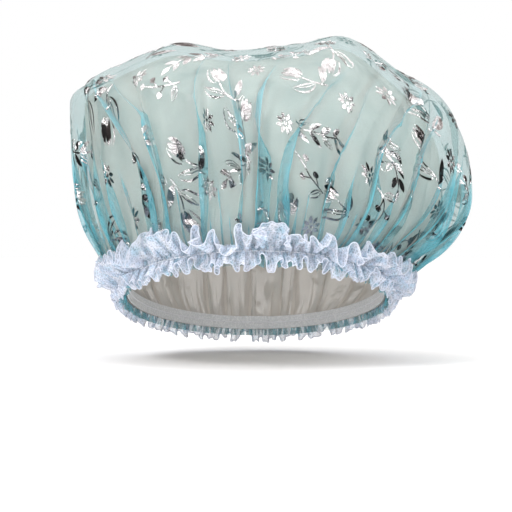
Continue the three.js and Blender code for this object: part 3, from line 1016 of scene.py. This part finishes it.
bpy.ops.object.select_all(action="DESELECT")
bpy.ops.mesh.primitive_cylinder_add(
    vertices=6, radius=stitch_radius, depth=stitch_shank, rotation=(0, math.pi / 2, 0)
)
stitch = bpy.context.object
bpy.ops.object.transform_apply(location=True, rotation=True, scale=True)
bpy.ops.object.mode_set(mode="EDIT")
bpy.ops.mesh.select_all(action="DESELECT")
bpy.ops.object.mode_set(mode="OBJECT")
for face in stitch.data.polygons:
    face.select = abs(face.normal.x) > 0.9
bpy.ops.object.mode_set(mode="EDIT")
bpy.ops.mesh.select_mode(type="FACE")
bpy.ops.mesh.extrude_faces_move(TRANSFORM_OT_shrink_fatten={"value": stitch_end})
bpy.ops.transform.resize(value=(1, stitch_taper, stitch_taper), center_override=(0, 0, 0))
bpy.ops.object.mode_set(mode="OBJECT")
stitch_shape = np.array([v.co[:] for v in stitch.data.vertices])
stitch_faces = [list(face.vertices) for face in stitch.data.polygons]
bpy.data.objects.remove(stitch)


def stitch_row(name, offset, lap_step):
    """A ring of copies of the stitch along the seam line, stepped in where the elastic is lapped."""
    points = []
    faces = []
    lap_reach = tape_lap / 2 + 1 * mm
    for n in range(stitch_count):
        angle = 2 * np.pi * n / stitch_count - np.pi
        lapped = abs(rim_half_width * math.sin(angle)) < lap_reach and math.cos(angle) < 0
        out = offset - (lap_step if lapped else 0)
        spot = ring(np.array(angle), out, 0.0)
        after = ring(np.array(angle + 0.01), out, 0.0) - spot
        tangent = after / np.linalg.norm(after)
        sideways = np.array([tangent[1], -tangent[0], 0])
        level = stitch_shape[:, :1] * tangent + stitch_shape[:, 1:2] * sideways
        placed = spot + level + stitch_shape[:, 2:] * np.array([0, 0, 1])
        faces += [[len(stitch_shape) * n + v for v in face] for face in stitch_faces]
        points.append(lean_back(placed))
    return smooth_piece(name, np.concatenate(points), faces)


thread_white = twisted_thread()
for row_name, row_offset, row_step, row_node in (
    ("needle_stitches", needle_offset, 0, "needle_thread"),
    ("bobbin_stitches", bobbin_offset, tape_thickness + tape_lap_gap, "bobbin_thread"),
):
    stitches = stitch_row(row_name, row_offset, row_step)
    stitches.data.materials.append(thread_white)
    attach(stitches, "root")
    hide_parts(row_node)

# Studio
# A plain pale floor under the rim, soft lights from the left, the right and the front in a white room,
# and the photograph's level view.
seen_low, seen_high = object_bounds()
bpy.ops.object.select_all(action="DESELECT")
bpy.ops.mesh.primitive_plane_add(size=80, location=(0, 0, min(cad_low.z, seen_low.z)))
floor = bpy.context.object
floor.name = "floor"
floor_looks = {"Roughness": 0.9, "Base Color": (0.96, 0.96, 0.96, 1)}
floor.data.materials.append(new_material("floor_paint", floor_looks)[0])
floor.visible_glossy = False


def soft_light(name, place, aim, size, power):
    """A round soft light that faces the aim. Places and sizes are in metres, and power in watts."""
    light = bpy.data.lights.new(name, "AREA")
    light.shape = "DISK"
    light.size = size
    light.energy = power
    lamp = bpy.data.objects.new(name, light)
    lamp.location = place
    toward = bpy.data.objects.new(name + "_aim", None)
    toward.location = aim
    bpy.context.collection.objects.link(lamp)
    bpy.context.collection.objects.link(toward)
    track = lamp.constraints.new("TRACK_TO")
    track.target = toward
    track.track_axis = "TRACK_NEGATIVE_Z"
    track.up_axis = "UP_Y"


middle = (0, 0, 60 * mm)
soft_light("key_light", (-0.8, -0.9, 0.9), middle, size=0.5, power=9.5)
soft_light("fill_light", (0.9, -0.7, 0.5), middle, size=0.6, power=6)
soft_light("front_light", (-0.25, -1.2, 0.1), middle, size=0.5, power=3)

# The room is bright overhead and dark low down, so that the foil has both to mirror
world = bpy.data.worlds.new("studio_white")
world.use_nodes = True
bpy.context.scene.world = world
sky = world.node_tree
way_up = node(sky, "SeparateXYZ", {0: node(sky, "TexCoord").outputs["Generated"]}).outputs["Z"]
rise = span(sky, way_up, (-0.1, 1.0), (0.0, 1.0))
room = sky.nodes["Background"]
sky_tint = colours(
    sky, rise, (0.1, (0.012, 0.012, 0.012)), (0.4, (0.03, 0.024, 0.022)), (0.52, (0.16, 0.12, 0.11)),
    (0.62, (0.5, 0.48, 0.47)), (1.0, (1, 1, 1)),
)
sky.links.new(sky_tint, room.inputs["Color"])
room.inputs["Strength"].default_value = 2.1
white = node(sky, "Background", {"Color": (1, 1, 1, 1), "Strength": 1.0})
seen = node(sky, "LightPath").outputs["Is Camera Ray"]
both = node(sky, "MixShader", {0: seen, 1: room.outputs[0], 2: white.outputs[0]})
sky.links.new(both.outputs[0], sky.nodes["World Output"].inputs["Surface"])

scene = bpy.context.scene
scene.view_settings.view_transform = "Standard"
scene.cycles.transparent_max_bounces = 32

view_distance = 0.95
view_height = 21 * mm
picture_pixels = 512
pixel_size = 0.6 * mm
sensor = 36
camera_data = bpy.data.cameras.new("camera")
camera_data.sensor_width = sensor
camera_data.lens = sensor * view_distance / (picture_pixels * pixel_size)
camera = bpy.data.objects.new("camera", camera_data)
camera.location = (0, -view_distance, view_height)
camera.rotation_euler = (math.pi / 2, 0, 0)
bpy.context.collection.objects.link(camera)
scene.camera = camera
